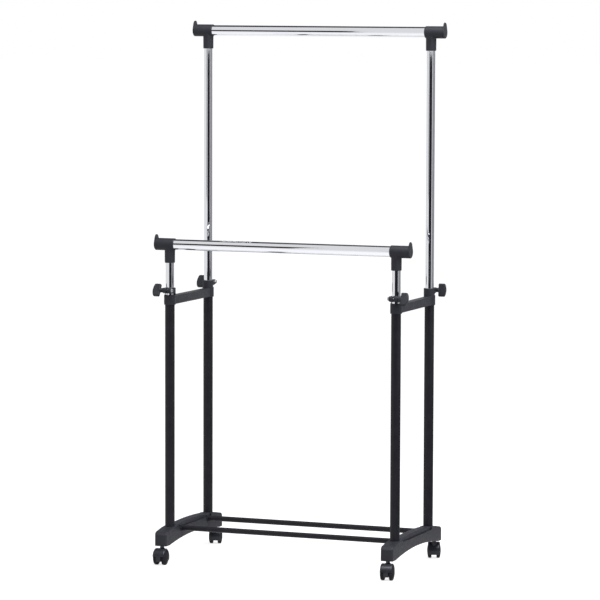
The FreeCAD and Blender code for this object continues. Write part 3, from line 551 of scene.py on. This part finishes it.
def make_bracket(side):
    """Two post sleeves, a hollow link between them, and a split clamp ring with ears on each sleeve."""
    node = f"bracket_{side}"
    low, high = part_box(node)
    middle_x = centre(f"post_front_{side}").x
    half_spacing = centre(f"post_rear_{side}").y
    half_width = (high.x - low.x) / 2
    post_radius = size(f"post_front_{side}").x / 2 + 0.05 * MM
    tube_radius = size(f"slide_tube_front_{side}").x / 2 + 0.1 * MM
    post_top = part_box(f"post_front_{side}")[1].z
    ring_top = low.z + 50 * MM
    link_low, link_high, link_half = low.z + 1 * MM, low.z + 26 * MM, 12.5 * MM
    outline = [Vector((x, y)) for x, y in (
        (-link_half, -half_spacing), (link_half, -half_spacing),
        (link_half, half_spacing), (-link_half, half_spacing))]
    bracket = prism("link", outline, link_low, link_high, (0.8 * MM, 0.8 * MM), (1.5 * MM, 1.5 * MM))
    for end, sign in ENDS.items():
        y = sign * half_spacing
        axis = clamp_axis(end, side)
        sleeve = lathe("sleeve", [(0, low.z)] + [tuple(p) for p in arc(
            (half_width - 1 * MM, low.z + 1 * MM), 1 * MM, -90, 0, 4)] + [tuple(p) for p in arc(
                (half_width - 1.3 * MM, ring_top - 1.3 * MM), 1.3 * MM, 0, 90, 4)] + [(0, ring_top)],
            96, ring=False)
        ear = bar(
            -EAR_HALF_LENGTH + 1.5 * MM, EAR_HALF_LENGTH - 1.5 * MM,
            min(y + sign * 10 * MM, axis.y), max(y + sign * 10 * MM, axis.y),
            CLAMP_SLOT[1], ring_top - 0.4 * MM,
        )
        barrel = lathe("barrel", [(0, -EAR_HALF_LENGTH)] + [tuple(p) for p in arc(
            (EAR_RADIUS - 1 * MM, -EAR_HALF_LENGTH + 1 * MM), 1 * MM, -90, 0, 4)] + [tuple(p) for p in arc(
                (EAR_RADIUS - 1 * MM, EAR_HALF_LENGTH - 1 * MM), 1 * MM, 0, 90, 4)] + [(0, EAR_HALF_LENGTH)],
            48, ring=False)
        moved(barrel, 0, axis.y, axis.z, ALONG_X)
        add(bracket, moved(sleeve, 0, y), ear, barrel)
    for end, sign in ENDS.items():
        y = sign * half_spacing
        axis = clamp_axis(end, side)
        outer = axis.y + sign * 12 * MM
        cut(
            bracket,
            moved(rod(tube_radius, low.z - 1 * MM, high.z + 1 * MM, 96), 0, y),
            moved(rod(post_radius, low.z - 1 * MM, post_top, 96), 0, y),
            bar(-half_width - 1 * MM, half_width + 1 * MM, *sorted((y - sign * 2 * MM, outer)), *CLAMP_SLOT),
            bar(-CLAMP_SLIT / 2, CLAMP_SLIT / 2, *sorted((y + sign * 6.4 * MM, outer)),
                CLAMP_SLOT[0], high.z + 2 * MM),
            moved(rod(BOLT_RADIUS + 0.05 * MM, -20 * MM, 20 * MM, 32), 0, axis.y, axis.z, ALONG_X),
        )
    reach = half_spacing - half_width - 1 * MM
    inside = link_half - 2.5 * MM
    rib = reach / 3
    cells = ((-reach, -rib - 1.5 * MM), (-rib + 1.5 * MM, rib - 1.5 * MM), (rib + 1.5 * MM, reach))
    for start, stop in cells:
        cut(bracket, bar(-inside, inside, start, stop, link_low - 1 * MM, link_high - 2.5 * MM, 2 * MM))
    soften(bracket, 0.45 * MM)
    place(bracket, node, Matrix.Translation((middle_x, 0, 0)))


def make_clamp_bolts():
    """Hex-head bolts through the clamps, with their heads on the inner side."""
    bolts = []
    head_height = 4.2 * MM
    across_flats = 10 * MM
    for end in ENDS:
        for side, sign in SIDES.items():
            corner = across_flats / 2 / math.cos(math.radians(30))
            hexagon = [Vector((corner * math.cos(a), corner * math.sin(a))) for a in
                       (math.radians(30 + 60 * k) for k in range(6))]
            head_end = -EAR_HALF_LENGTH - head_height
            head = prism("head", hexagon, head_end, -EAR_HALF_LENGTH, (0, 0), (0, 0), steps=1)
            dome = lathe("dome", [
                (0, head_end), (across_flats * 0.47, head_end), (corner * 1.1, head_end + 1.3 * MM),
                (corner * 1.1, -EAR_HALF_LENGTH), (0, -EAR_HALF_LENGTH),
            ], 48, ring=False)
            combine(head, "INTERSECT", dome)
            shank = rod(BOLT_RADIUS, -EAR_HALF_LENGTH - 0.5 * MM, 45 * MM - EAR_HALF_LENGTH, 32, 0.5 * MM)
            bolt = soften(add(head, shank), 0.2 * MM)
            turn = facing_x(sign)
            bolt.matrix_world = Matrix.Translation(clamp_axis(end, side)) @ turn
            bpy.context.view_layer.update()
            bolts.append(bolt)
    piece = gather("clamp_bolts_look", bolts)
    piece.data.shade_smooth()
    piece.data.set_sharp_from_angle(angle=math.radians(40))
    place(piece, "clamp_bolts", Matrix.Identity(4))


WING_TURNS = {
    ("front", "left"): 30.0,
    ("front", "right"): -26.0,
    ("rear", "left"): 30.0,
    ("rear", "right"): -6.0,
}


def make_wing_knob(end, side):
    """A neck that flares into a thick wing with a slightly bowed outer edge and well-rounded edges."""
    node = f"wing_knob_{end}_{side}"
    low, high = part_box(node)
    axis = clamp_axis(end, side)
    tip = max(abs(low.x - axis.x), abs(high.x - axis.x))
    base = min(abs(low.x - axis.x), abs(high.x - axis.x))
    wing_base = base + 7 * MM
    half_span, half_thick, bow = 19.5 * MM, 5.5 * MM, 5.0 * MM
    bow_radius = (half_span**2 + bow**2) / (2 * bow)
    sweep = math.degrees(math.asin(half_span / bow_radius))
    outline = [Vector((wing_base, half_span)), Vector((wing_base, -half_span))]
    outline += arc((tip - bow_radius, 0), bow_radius, -sweep, sweep, 14)
    wing = prism("wing", rounded_path(outline, 3.3 * MM), -half_thick, half_thick,
                 (3.3 * MM, 3.3 * MM), (3.3 * MM, 3.3 * MM), steps=6)
    # the outline's own X and Y become the knob's X and Z
    wing.data.transform(Matrix.Rotation(math.pi / 2, 4, "X"))
    neck = lathe("neck", [
        (0, base), (5.7 * MM, base), (6.5 * MM, base + 0.8 * MM), (6.5 * MM, wing_base - 2 * MM),
        (7.0 * MM, wing_base - 0.6 * MM), (8.2 * MM, wing_base + 0.8 * MM), (5.0 * MM, wing_base + 4 * MM),
        (0, wing_base + 4 * MM),
    ], 48, ring=False)
    knob = add(wing, moved(neck, turn=ALONG_X))
    cut(knob, moved(rod(BOLT_RADIUS + 0.05 * MM, base - 1 * MM, base + 18 * MM, 32), turn=ALONG_X))
    soften(knob, 0.5 * MM, angle=40)
    turn = Matrix.Identity(4) if SIDES[side] > 0 else Matrix.Rotation(math.pi, 4, "Z")
    roll = Matrix.Rotation(math.radians(WING_TURNS[(end, side)]), 4, "X")
    place(knob, node, Matrix.Translation(axis) @ turn @ roll)


def rounded_path(points, radius):
    """Rounds only the outline's tight corners."""
    corners = []
    for index, point in enumerate(points):
        back = (points[index - 1] - point).normalized()
        ahead = (points[(index + 1) % len(points)] - point).normalized()
        tight = back.angle(ahead) < math.radians(150)
        corners.append((point.x, point.y, radius if tight else 0))
    outline = rounded(corners)
    return [p for index, p in enumerate(outline) if (p - outline[index - 1]).length > 0.05 * MM]


# --- Feet -----------------------------------------------------------------------------------------


FOOT_HALF_WIDTH = 19 * MM
SPREADER_BOSS_HEIGHT = 3 * MM
SPREADER_SCREW_INSET = 11.5 * MM


def height_on(chain, y):
    """The height of a chain of (y, z) points at y."""
    for start, end in zip(chain, chain[1:]):
        if start.x <= y <= end.x and end.x > start.x:
            return start.y + (end.y - start.y) * (y - start.x) / (end.x - start.x)
    return chain[-1].y if y > chain[-1].x else chain[0].y


def foot_chains(half_length, underside, arch, crest):
    """The foot's side view from middle to toe: its top and its bottom, rounded where they turn."""
    shoulder = Vector((168 * MM, crest - 8 * MM))
    crest_radius = (shoulder.x**2 + (crest - shoulder.y) ** 2) / (2 * (crest - shoulder.y))
    top = [Vector((y, crest - crest_radius + math.sqrt(crest_radius**2 - y * y)))
           for y in (shoulder.x * k / 14 for k in range(14))]
    toe = rounded([
        (0, crest, 0), (shoulder.x, shoulder.y, 10 * MM), (207 * MM, crest - 15 * MM, 8 * MM),
        (half_length, crest - 24 * MM, 4 * MM), (half_length, underside, 0), (0, underside, 0),
    ], steps=5)
    top += [p for p in toe if p.x > 155 * MM and p.y > crest - 32 * MM]
    arch_half = 188 * MM
    arch_radius = (arch_half**2 + (arch - underside) ** 2) / (2 * (arch - underside))
    bottom = [Vector((y, arch - arch_radius + math.sqrt(arch_radius**2 - y * y)))
              for y in (arch_half * k / 16 for k in range(17))]
    bottom += [Vector((half_length - 1.5 * MM, underside)), Vector((half_length, underside + 1.5 * MM))]
    return top, bottom


def foot_section(half_width, low, high, top_corner, bottom_corner):
    """A cross-section with rounded corners, anticlockwise from the bottom left."""
    return rounded([
        (-half_width, low, bottom_corner), (half_width, low, bottom_corner),
        (half_width, high, top_corner), (-half_width, high, top_corner),
    ], steps=4)


def loft(name, rows):
    """A solid through (y, section) rows, each section a loop of (x, z) points."""
    count = len(rows[0][1])
    vertices = [(p.x, y, p.y) for y, section in rows for p in section]
    faces = [tuple(range(count)), tuple((len(rows) - 1) * count + k for k in range(count))]
    for row in range(len(rows) - 1):
        base = row * count
        for k in range(count):
            after = (k + 1) % count
            faces.append((base + k, base + after, base + count + after, base + count + k))
    return solid(name, vertices, faces)


def make_foot(side):
    """An arched moulded foot with a ridge and two grooves along its top, ribbed and open below."""
    node = f"foot_{side}"
    low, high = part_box(node)
    middle_x = centre(f"post_front_{side}").x
    half_width = FOOT_HALF_WIDTH
    half_length = high.y
    inward = -SIDES[side]
    underside, crest = low.z, high.z
    arch = underside + 15.5 * MM
    top, bottom = foot_chains(half_length, underside, arch, crest)
    corner = 6 * MM
    stations = [half_length * k / 40 for k in range(39)]
    stations = [y for y in stations if y < half_length - corner - 1 * MM]
    stations += [half_length - corner + corner * math.sin(math.radians(90 * k / 8)) for k in range(9)]
    stations += [207 * MM, 168 * MM, 188 * MM]
    stations = sorted(set(round(y, 6) for y in stations))
    stations = [-y for y in reversed(stations) if y > 0] + stations
    rows = []
    for y in stations:
        past = max(0.0, abs(y) - (half_length - corner))
        width = half_width - corner + math.sqrt(max(0.0, corner**2 - past**2))
        section = foot_section(width, height_on(bottom, abs(y)), height_on(top, abs(y)), 2.8 * MM, 1.2 * MM)
        rows.append((y, section))
    foot = loft("foot", rows)

    spreader_y = centre("spreader_rear").y
    spreader_z = centre("spreader_rear").z
    spreader_radius = size("spreader_rear").y / 2 + 0.05 * MM
    post_y = centre(f"post_rear_{side}").y
    post_radius = size(f"post_rear_{side}").x / 2 + 0.05 * MM
    socket_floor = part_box(f"post_rear_{side}")[0].z
    stem_y = centre(f"caster_rear_{side}_stem").y
    stem_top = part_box(f"caster_rear_{side}_stem")[1].z
    face = half_width + SPREADER_BOSS_HEIGHT
    facing = facing_x(inward)
    for sign in ENDS.values():
        rim = [tuple(p) for p in arc((11 * MM - 1 * MM, face - 1 * MM), 1 * MM, 0, 90, 4)]
        boss = lathe("boss", [(0, 0)] + rim + [(0, face)], 64, ring=False)
        add(foot, moved(boss, 0, sign * spreader_y, spreader_z, facing))

    # the sides are lower than the ridge between the posts, and the grooves stop at the spreaders
    ridge_half, ridge_length, wall = 14 * MM, 127 * MM, half_width - 2.5 * MM
    side_top, groove_floor = crest - 13 * MM, crest - 20 * MM
    cut(foot, bar(-1.3 * half_width, 1.3 * half_width, -ridge_length, ridge_length, side_top, crest + 5 * MM))
    spans = ((-ridge_length, -114.5 * MM), (-88 * MM, 88 * MM), (114.5 * MM, ridge_length))
    for start, stop in spans:
        for left, right in ((-wall, 1 * MM - ridge_half), (ridge_half - 1 * MM, wall)):
            cut(foot, bar(left, right, start, stop, groove_floor, crest))
    ridge_rows = []
    for k in range(-20, 21):
        y = (ridge_length + 0.5 * MM) * k / 20
        ridge_top = height_on(top, abs(y)) - 0.02 * MM
        ridge_rows.append((y, foot_section(ridge_half, groove_floor - 2 * MM, ridge_top, 3.2 * MM, 0.3 * MM)))
    add(foot, loft("ridge", ridge_rows))

    cutters = []
    hollow_roof = crest - 25 * MM
    cell = (168 * MM - 6 * MM) / 3
    for number in range(3):
        start = -84 * MM + number * (cell + 3 * MM)
        cutters.append(bar(-15 * MM, 15 * MM, start, start + cell, underside - 5 * MM, hollow_roof, 2 * MM))
    for sign in ENDS.values():
        cutters.append(moved(rod(post_radius, socket_floor, crest + 5 * MM, 96), 0, sign * post_y))
        cutters.append(moved(rod(2.55 * MM, underside - 5 * MM, socket_floor + 1 * MM, 24), 0, sign * post_y))
        cutters.append(moved(rod(5.5 * MM, underside - 5 * MM, socket_floor - 3 * MM, 48), 0, sign * post_y))
        cutters.append(moved(rod(5.55 * MM, underside - 5 * MM, stem_top + 0.5 * MM, 48), 0, sign * stem_y))
        hole = rod(spreader_radius, -23 * MM, 5 * MM, 64)
        cutters.append(moved(hole, inward * face, sign * spreader_y, spreader_z, facing))
        screw_x = inward * (face - SPREADER_SCREW_INSET)
        cutters.append(moved(rod(2.05 * MM, underside - 5 * MM, spreader_z, 24), screw_x, sign * spreader_y))
        counterbore = rod(4.3 * MM, underside - 5 * MM, spreader_z - 16 * MM, 40)
        cutters.append(moved(counterbore, screw_x, sign * spreader_y))
    cut(foot, *cutters)
    soften(foot, 0.5 * MM, angle=38)
    place(foot, node, Matrix.Translation((middle_x, 0, 0)))


def make_post_plug(end, side):
    node = f"post_plug_{end}_{side}"
    low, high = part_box(node)
    radius, height = (high.x - low.x) / 2, high.z - low.z
    plug = lathe(node, rounded([
        (2.55 * MM, 0, 0.2 * MM), (radius, 0, 0.8 * MM),
        (radius, height, 0.3 * MM), (2.55 * MM, height, 1 * MM),
    ], steps=3), 72)
    place(soften(plug), node, Matrix.Translation((centre(node).x, centre(node).y, low.z)))


def pan_head_screw(head_radius, shank_radius, length):
    """A pan head below the origin with a cross recess, and a threaded shank above it."""
    depth = head_radius * 0.5
    profile = [(0, -depth), (head_radius * 0.55, -depth), (head_radius * 0.85, -depth * 0.75),
               (head_radius, -depth * 0.35), (head_radius, 0), (shank_radius, 0)]
    pitch = 0.8 * MM
    turns = int((length - 2 * MM) / pitch)
    for turn in range(turns):
        profile.append((shank_radius, pitch * (turn + 0.25)))
        profile.append((shank_radius * 0.84, pitch * (turn + 0.75)))
    profile += [(shank_radius * 0.84, length - 1.5 * MM), (shank_radius * 0.3, length), (0, length)]
    screw = lathe("screw", profile, 32, ring=False)
    slot_half, slot_reach = head_radius * 0.1, head_radius * 0.55
    cross = (bar(-slot_half, slot_half, -slot_reach, slot_reach, -depth - 1 * MM, -depth * 0.4),
             bar(-slot_reach, slot_reach, -slot_half, slot_half, -depth - 1 * MM, -depth * 0.4))
    return cut(screw, *cross)


def make_screws(node, places, head_radius, shank_radius, length):
    screws = []
    for x, y, z in places:
        screw = pan_head_screw(head_radius, shank_radius, length)
        screw.matrix_world = Matrix.Translation((x, y, z))
        bpy.context.view_layer.update()
        screws.append(screw)
    piece = gather(f"{node}_look", screws)
    piece.data.shade_smooth()
    piece.data.set_sharp_from_angle(angle=math.radians(35))
    place(piece, node, Matrix.Identity(4))


def make_foot_screws():
    post_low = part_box("post_screws")[0].z
    spreader_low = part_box("spreader_screws")[0].z
    post_places, spreader_places = [], []
    for side, sign in SIDES.items():
        for end in ENDS:
            post = centre(f"post_{end}_{side}")
            post_places.append((post.x, post.y, post_low + 2.5 * MM))
            x = post.x - sign * (FOOT_HALF_WIDTH + SPREADER_BOSS_HEIGHT - SPREADER_SCREW_INSET)
            spreader_places.append((x, centre(f"spreader_{end}").y, spreader_low + 1.9 * MM))
    make_screws("post_screws", post_places, 5 * MM, 2.5 * MM,
                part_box("post_screws")[1].z - post_low - 2.5 * MM)
    make_screws("spreader_screws", spreader_places, 3.8 * MM, 2 * MM,
                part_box("spreader_screws")[1].z - spreader_low - 1.9 * MM)


# --- Casters --------------------------------------------------------------------------------------


def caster_frame(end, side):
    """The caster's own frame on its stem axis, with the wheels' offset and height. It trails along +Y."""
    name = f"caster_{end}_{side}"
    stem, axle = centre(f"{name}_stem"), centre(f"{name}_axle")
    trail = Vector((axle.x - stem.x, axle.y - stem.y, 0))
    heading = math.atan2(-trail.x, trail.y)
    matrix = Matrix.Translation((stem.x, stem.y, 0)) @ Matrix.Rotation(heading, 4, "Z")
    return matrix, trail.length, axle.z


def make_caster_hood(end, side):
    """The caster's body: a crowned hood over both wheels, a web between them and a boss for the stem."""
    node = f"caster_{end}_{side}_hood"
    matrix, trail, height = caster_frame(end, side)
    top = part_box(node)[1].z
    radius = top - height
    half_width, well, web = 18.4 * MM, 23.4 * MM, 7.0 * MM
    shoulder = 4.5 * MM
    near_edge = arc((radius - shoulder, -half_width + shoulder), shoulder, -90, 0, 7)
    far_edge = arc((radius - shoulder, half_width - shoulder), shoulder, 0, 90, 7)
    profile = [(0, -half_width)] + [tuple(p) for p in near_edge] + [(radius, 0)]
    profile += [tuple(p) for p in far_edge] + [(0, half_width)]
    drum = lathe("drum", profile, 128, ring=False)
    moved(drum, 0, trail, height, ALONG_X)
    add(drum, rod(7.7 * MM, 25 * MM, top, 64, 0.4 * MM))
    floor_z, trailing_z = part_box(node)[0].z, height + 4.5 * MM
    reach = 2 * radius
    cutters = []
    for outward in (1, -1):
        near, far = sorted((outward * web, outward * (half_width + 2 * MM)))
        cutters.append(moved(rod(well, near, far, 128), 0, trail, height, ALONG_X))
        cutters.append(bar(near, far, trail, trail + reach, -1 * MM, trailing_z))
    cutters.append(bar(-reach, reach, trail - reach, trail + reach, -10 * MM, floor_z))
    cut(drum, *cutters)
    cut(drum, rod(5.5 * MM, 28 * MM, top + 5 * MM, 64),
        moved(rod(2.5 * MM, -20 * MM, 20 * MM, 32), 0, trail, height, ALONG_X))
    soften(drum, 0.5 * MM, angle=38)
    place(drum, node, matrix)


def make_caster_wheel(end, side, which):
    """A wheel with a grooved tread, a stepped rim and a domed hub."""
    node = f"caster_{end}_{side}_wheel_{which}"
    matrix, trail, height = caster_frame(end, side)
    local = matrix.inverted() @ centre(node)
    outward = math.copysign(1, local.x)
    bore, inner, outer, dome = 2.55 * MM, 7.7 * MM, 18.0 * MM, 20.6 * MM
    r = WHEEL_RADIUS
    profile = [
        (bore, inner), (r * 0.3, inner), (r * 0.32, inner + 0.8 * MM), (r * 0.8, inner + 0.8 * MM),
        (r * 0.82, inner), (r - 1.5 * MM, inner), (r - 0.4 * MM, inner + 0.5 * MM), (r, inner + 1.5 * MM),
        (r, inner + 4.6 * MM), (r - 0.5 * MM, inner + 4.9 * MM), (r - 0.5 * MM, inner + 5.3 * MM),
        (r, inner + 5.6 * MM), (r, outer - 3.4 * MM), (r - 0.35 * MM, outer - 2.2 * MM),
        (r - 1.3 * MM, outer - 1.0 * MM),
        (r - 3.3 * MM, outer), (r - 4.1 * MM, outer + 0.1 * MM), (r - 4.4 * MM, outer - 0.5 * MM),
        (r - 5.0 * MM, outer - 0.5 * MM), (r - 5.3 * MM, outer + 0.5 * MM), (r * 0.62, outer + 1.2 * MM),
        (r * 0.4, outer + 2.0 * MM), (r * 0.2, dome - 0.15 * MM), (0, dome), (0, inner + 9.7 * MM),
        (bore, inner + 9.7 * MM),
    ]
    wheel = lathe(node, profile, 96)
    soften(wheel)
    axis = facing_x(outward)
    place(wheel, node, matrix @ Matrix.Translation((0, trail, height)) @ axis)


def make_caster_stem(end, side):
    node = f"caster_{end}_{side}_stem"
    matrix = caster_frame(end, side)[0]
    low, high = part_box(node)
    hood_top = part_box(f"caster_{end}_{side}_hood")[1].z
    neck_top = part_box(f"foot_{side}")[0].z - 0.4 * MM
    radius, neck = 5.5 * MM, 6.2 * MM
    corners = [
        (0, low.z, 0), (radius, low.z, 0.4 * MM), (radius, hood_top, 0), (neck, hood_top, 0.3 * MM),
        (neck, neck_top, 0.5 * MM), (radius, neck_top, 0), (radius, high.z - 12 * MM, 0.3 * MM),
        (radius - 1 * MM, high.z - 11 * MM, 0.3 * MM), (radius - 1 * MM, high.z - 8 * MM, 0.3 * MM),
        (radius, high.z - 7 * MM, 0.3 * MM), (radius, high.z - 2 * MM, 0.6 * MM),
        (radius - 2 * MM, high.z, 0.5 * MM), (0, high.z, 0),
    ]
    place(soften(lathe(node, rounded(corners, steps=3), 64, ring=False)), node, matrix)


def make_caster_axle(end, side):
    node = f"caster_{end}_{side}_axle"
    matrix, trail, height = caster_frame(end, side)
    axle = rod(2.5 * MM, -17 * MM, 17 * MM, 48, 0.4 * MM)
    place(soften(axle), node, matrix @ Matrix.Translation((0, trail, height)) @ ALONG_X)


# --- Assembly -------------------------------------------------------------------------------------

UP, ACROSS = 2, 0
for side in SIDES:
    make_foot(side)
    make_bracket(side)
    for end in ENDS:
        make_tube(f"post_{end}_{side}", UP, 1.0 * MM, 0.3 * MM)
        make_tube(f"slide_tube_{end}_{side}", UP, 0.9 * MM, 0.25 * MM)
        make_tee(end, side)
        make_end_cap(end, side)
        make_guide_bush(end, side)
        make_post_plug(end, side)
        make_wing_knob(end, side)
        make_caster_hood(end, side)
        make_caster_stem(end, side)
        make_caster_axle(end, side)
        for which in ("inner", "outer"):
            make_caster_wheel(end, side, which)
for end in ENDS:
    make_tube(f"{HANGERS[end]}_rail", ACROSS, 1.0 * MM, 0.3 * MM)
    make_tube(f"spreader_{end}", ACROSS, 1.2 * MM, 0.3 * MM)
make_clamp_bolts()
make_foot_screws()


# --- Studio ---------------------------------------------------------------------------------------


def plain_material(name, colour, roughness, glow=0.0):
    material = bpy.data.materials.new(name)
    material.use_nodes = True
    shader = material.node_tree.nodes["Principled BSDF"]
    shader.inputs["Base Color"].default_value = (*colour, 1.0)
    shader.inputs["Roughness"].default_value = roughness
    shader.inputs["Specular IOR Level"].default_value = 0.1
    shader.inputs["Emission Color"].default_value = (1.0, 1.0, 1.0, 1.0)
    shader.inputs["Emission Strength"].default_value = glow
    return material


def make_floor():
    """A wide pale floor that glows a little, as a lit sweep does."""
    half = 60.0
    corners = [(-half, -half, 0), (half, -half, 0), (half, half, 0), (-half, half, 0)]
    floor = solid("floor", corners, [(0, 1, 2, 3)])
    floor.data.materials.append(plain_material("pale_floor", (0.22, 0.22, 0.222), 0.8, glow=0.78))


def make_card(name, across, ahead, heights, tone, turn=0.0):
    """A dark or grey card that only reflections see.

    across: its left and right end, to the camera's right. heights: its lower and upper edge.
    ahead: how far those two edges are from the rack's middle towards the camera.
    turn: how far the card is turned about the rack's own upright axis, in degrees.
    """
    right = Vector((math.cos(CAMERA_YAW), math.sin(CAMERA_YAW), 0))
    near = Vector((math.sin(CAMERA_YAW), -math.cos(CAMERA_YAW), 0))
    spin = Matrix.Rotation(math.radians(turn), 3, "Z")
    corners = []
    for end, edge in ((0, 0), (1, 0), (1, 1), (0, 1)):
        corners.append(spin @ (right * across[end] + near * ahead[edge]) + Vector((0, 0, heights[edge])))
    mesh = bpy.data.meshes.new(name)
    mesh.from_pydata(corners, [], [(0, 1, 2, 3)])
    card = link(name, mesh)
    card.data.materials.append(plain_material(name, tone, 0.9))
    card.visible_camera = False
    card.visible_shadow = False
    card.visible_diffuse = False


def make_softbox(name, x, y, z, width, height, power, reflected=True):
    """A large soft light aimed at the rack's middle."""
    light = bpy.data.lights.new(name, "AREA")
    light.shape = "RECTANGLE"
    light.size, light.size_y = width, height
    light.energy = power
    lamp = bpy.data.objects.new(name, light)
    bpy.context.scene.collection.objects.link(lamp)
    lamp.location = (x, y, z)
    lamp.rotation_euler = (Vector((0, 0, 0.8)) - Vector((x, y, z))).to_track_quat("-Z", "Y").to_euler()
    lamp.visible_camera = False
    lamp.visible_glossy = reflected


def make_camera():
    yaw, pitch, roll = CAMERA_YAW, CAMERA_PITCH, CAMERA_ROLL
    ahead = Vector((-math.sin(yaw) * math.cos(pitch), math.cos(yaw) * math.cos(pitch), -math.sin(pitch)))
    right = Vector((math.cos(yaw), math.sin(yaw), 0))
    up = right.cross(ahead)
    rolled_right = right * math.cos(roll) + up * math.sin(roll)
    rolled_up = up * math.cos(roll) - right * math.sin(roll)
    data = bpy.data.cameras.new("camera")
    data.lens = CAMERA_LENS
    data.sensor_width = CAMERA_SENSOR
    data.clip_end = 200.0
    camera = bpy.data.objects.new("camera", data)
    bpy.context.scene.collection.objects.link(camera)
    turn = Matrix((rolled_right, rolled_up, -ahead)).transposed().to_4x4()
    camera.matrix_world = Matrix.Translation(Vector(CAMERA_AIM) - ahead * CAMERA_DISTANCE) @ turn
    bpy.context.scene.camera = camera


def make_sky():
    world = bpy.data.worlds.new("studio")
    world.use_nodes = True
    background = world.node_tree.nodes["Background"]
    background.inputs["Color"].default_value = (1.0, 1.0, 1.0, 1.0)
    background.inputs["Strength"].default_value = 1.0
    bpy.context.scene.world = world


make_floor()
make_card("tube_card", (-0.9, 1.5), (1.6, 1.6), (0.0, 1.47), (0.012, 0.011, 0.015))
make_card("rail_card", (-2.1, -1.35), (1.6, 1.6), (0.92, 2.1), (0.03, 0.022, 0.02))
make_card("right_card", (-2.5, 2.5), (2.6, 2.6), (0.0, 4.0), (0.2, 0.2, 0.21), turn=95.0)
make_card("low_card", (-0.5, 1.2), (-0.42, -0.42), (0.0, 0.6), (0.25, 0.25, 0.27))
make_card("side_card", (-0.5, 1.3), (0.62, 0.62), (0.0, 0.5), (0.12, 0.12, 0.13), turn=68.7)
make_card("ceiling_card", (-4.0, 4.0), (-0.5, -4.0), (3.6, 2.3), (0.05, 0.05, 0.055))
make_softbox("top_light", 1.2, -0.8, 4.2, 3.0, 3.0, 350.0)
make_softbox("right_light", 4.0, -0.6, 2.2, 2.0, 2.5, 125.0, reflected=False)
make_sky()
make_camera()
bpy.context.scene.view_settings.view_transform = "Standard"
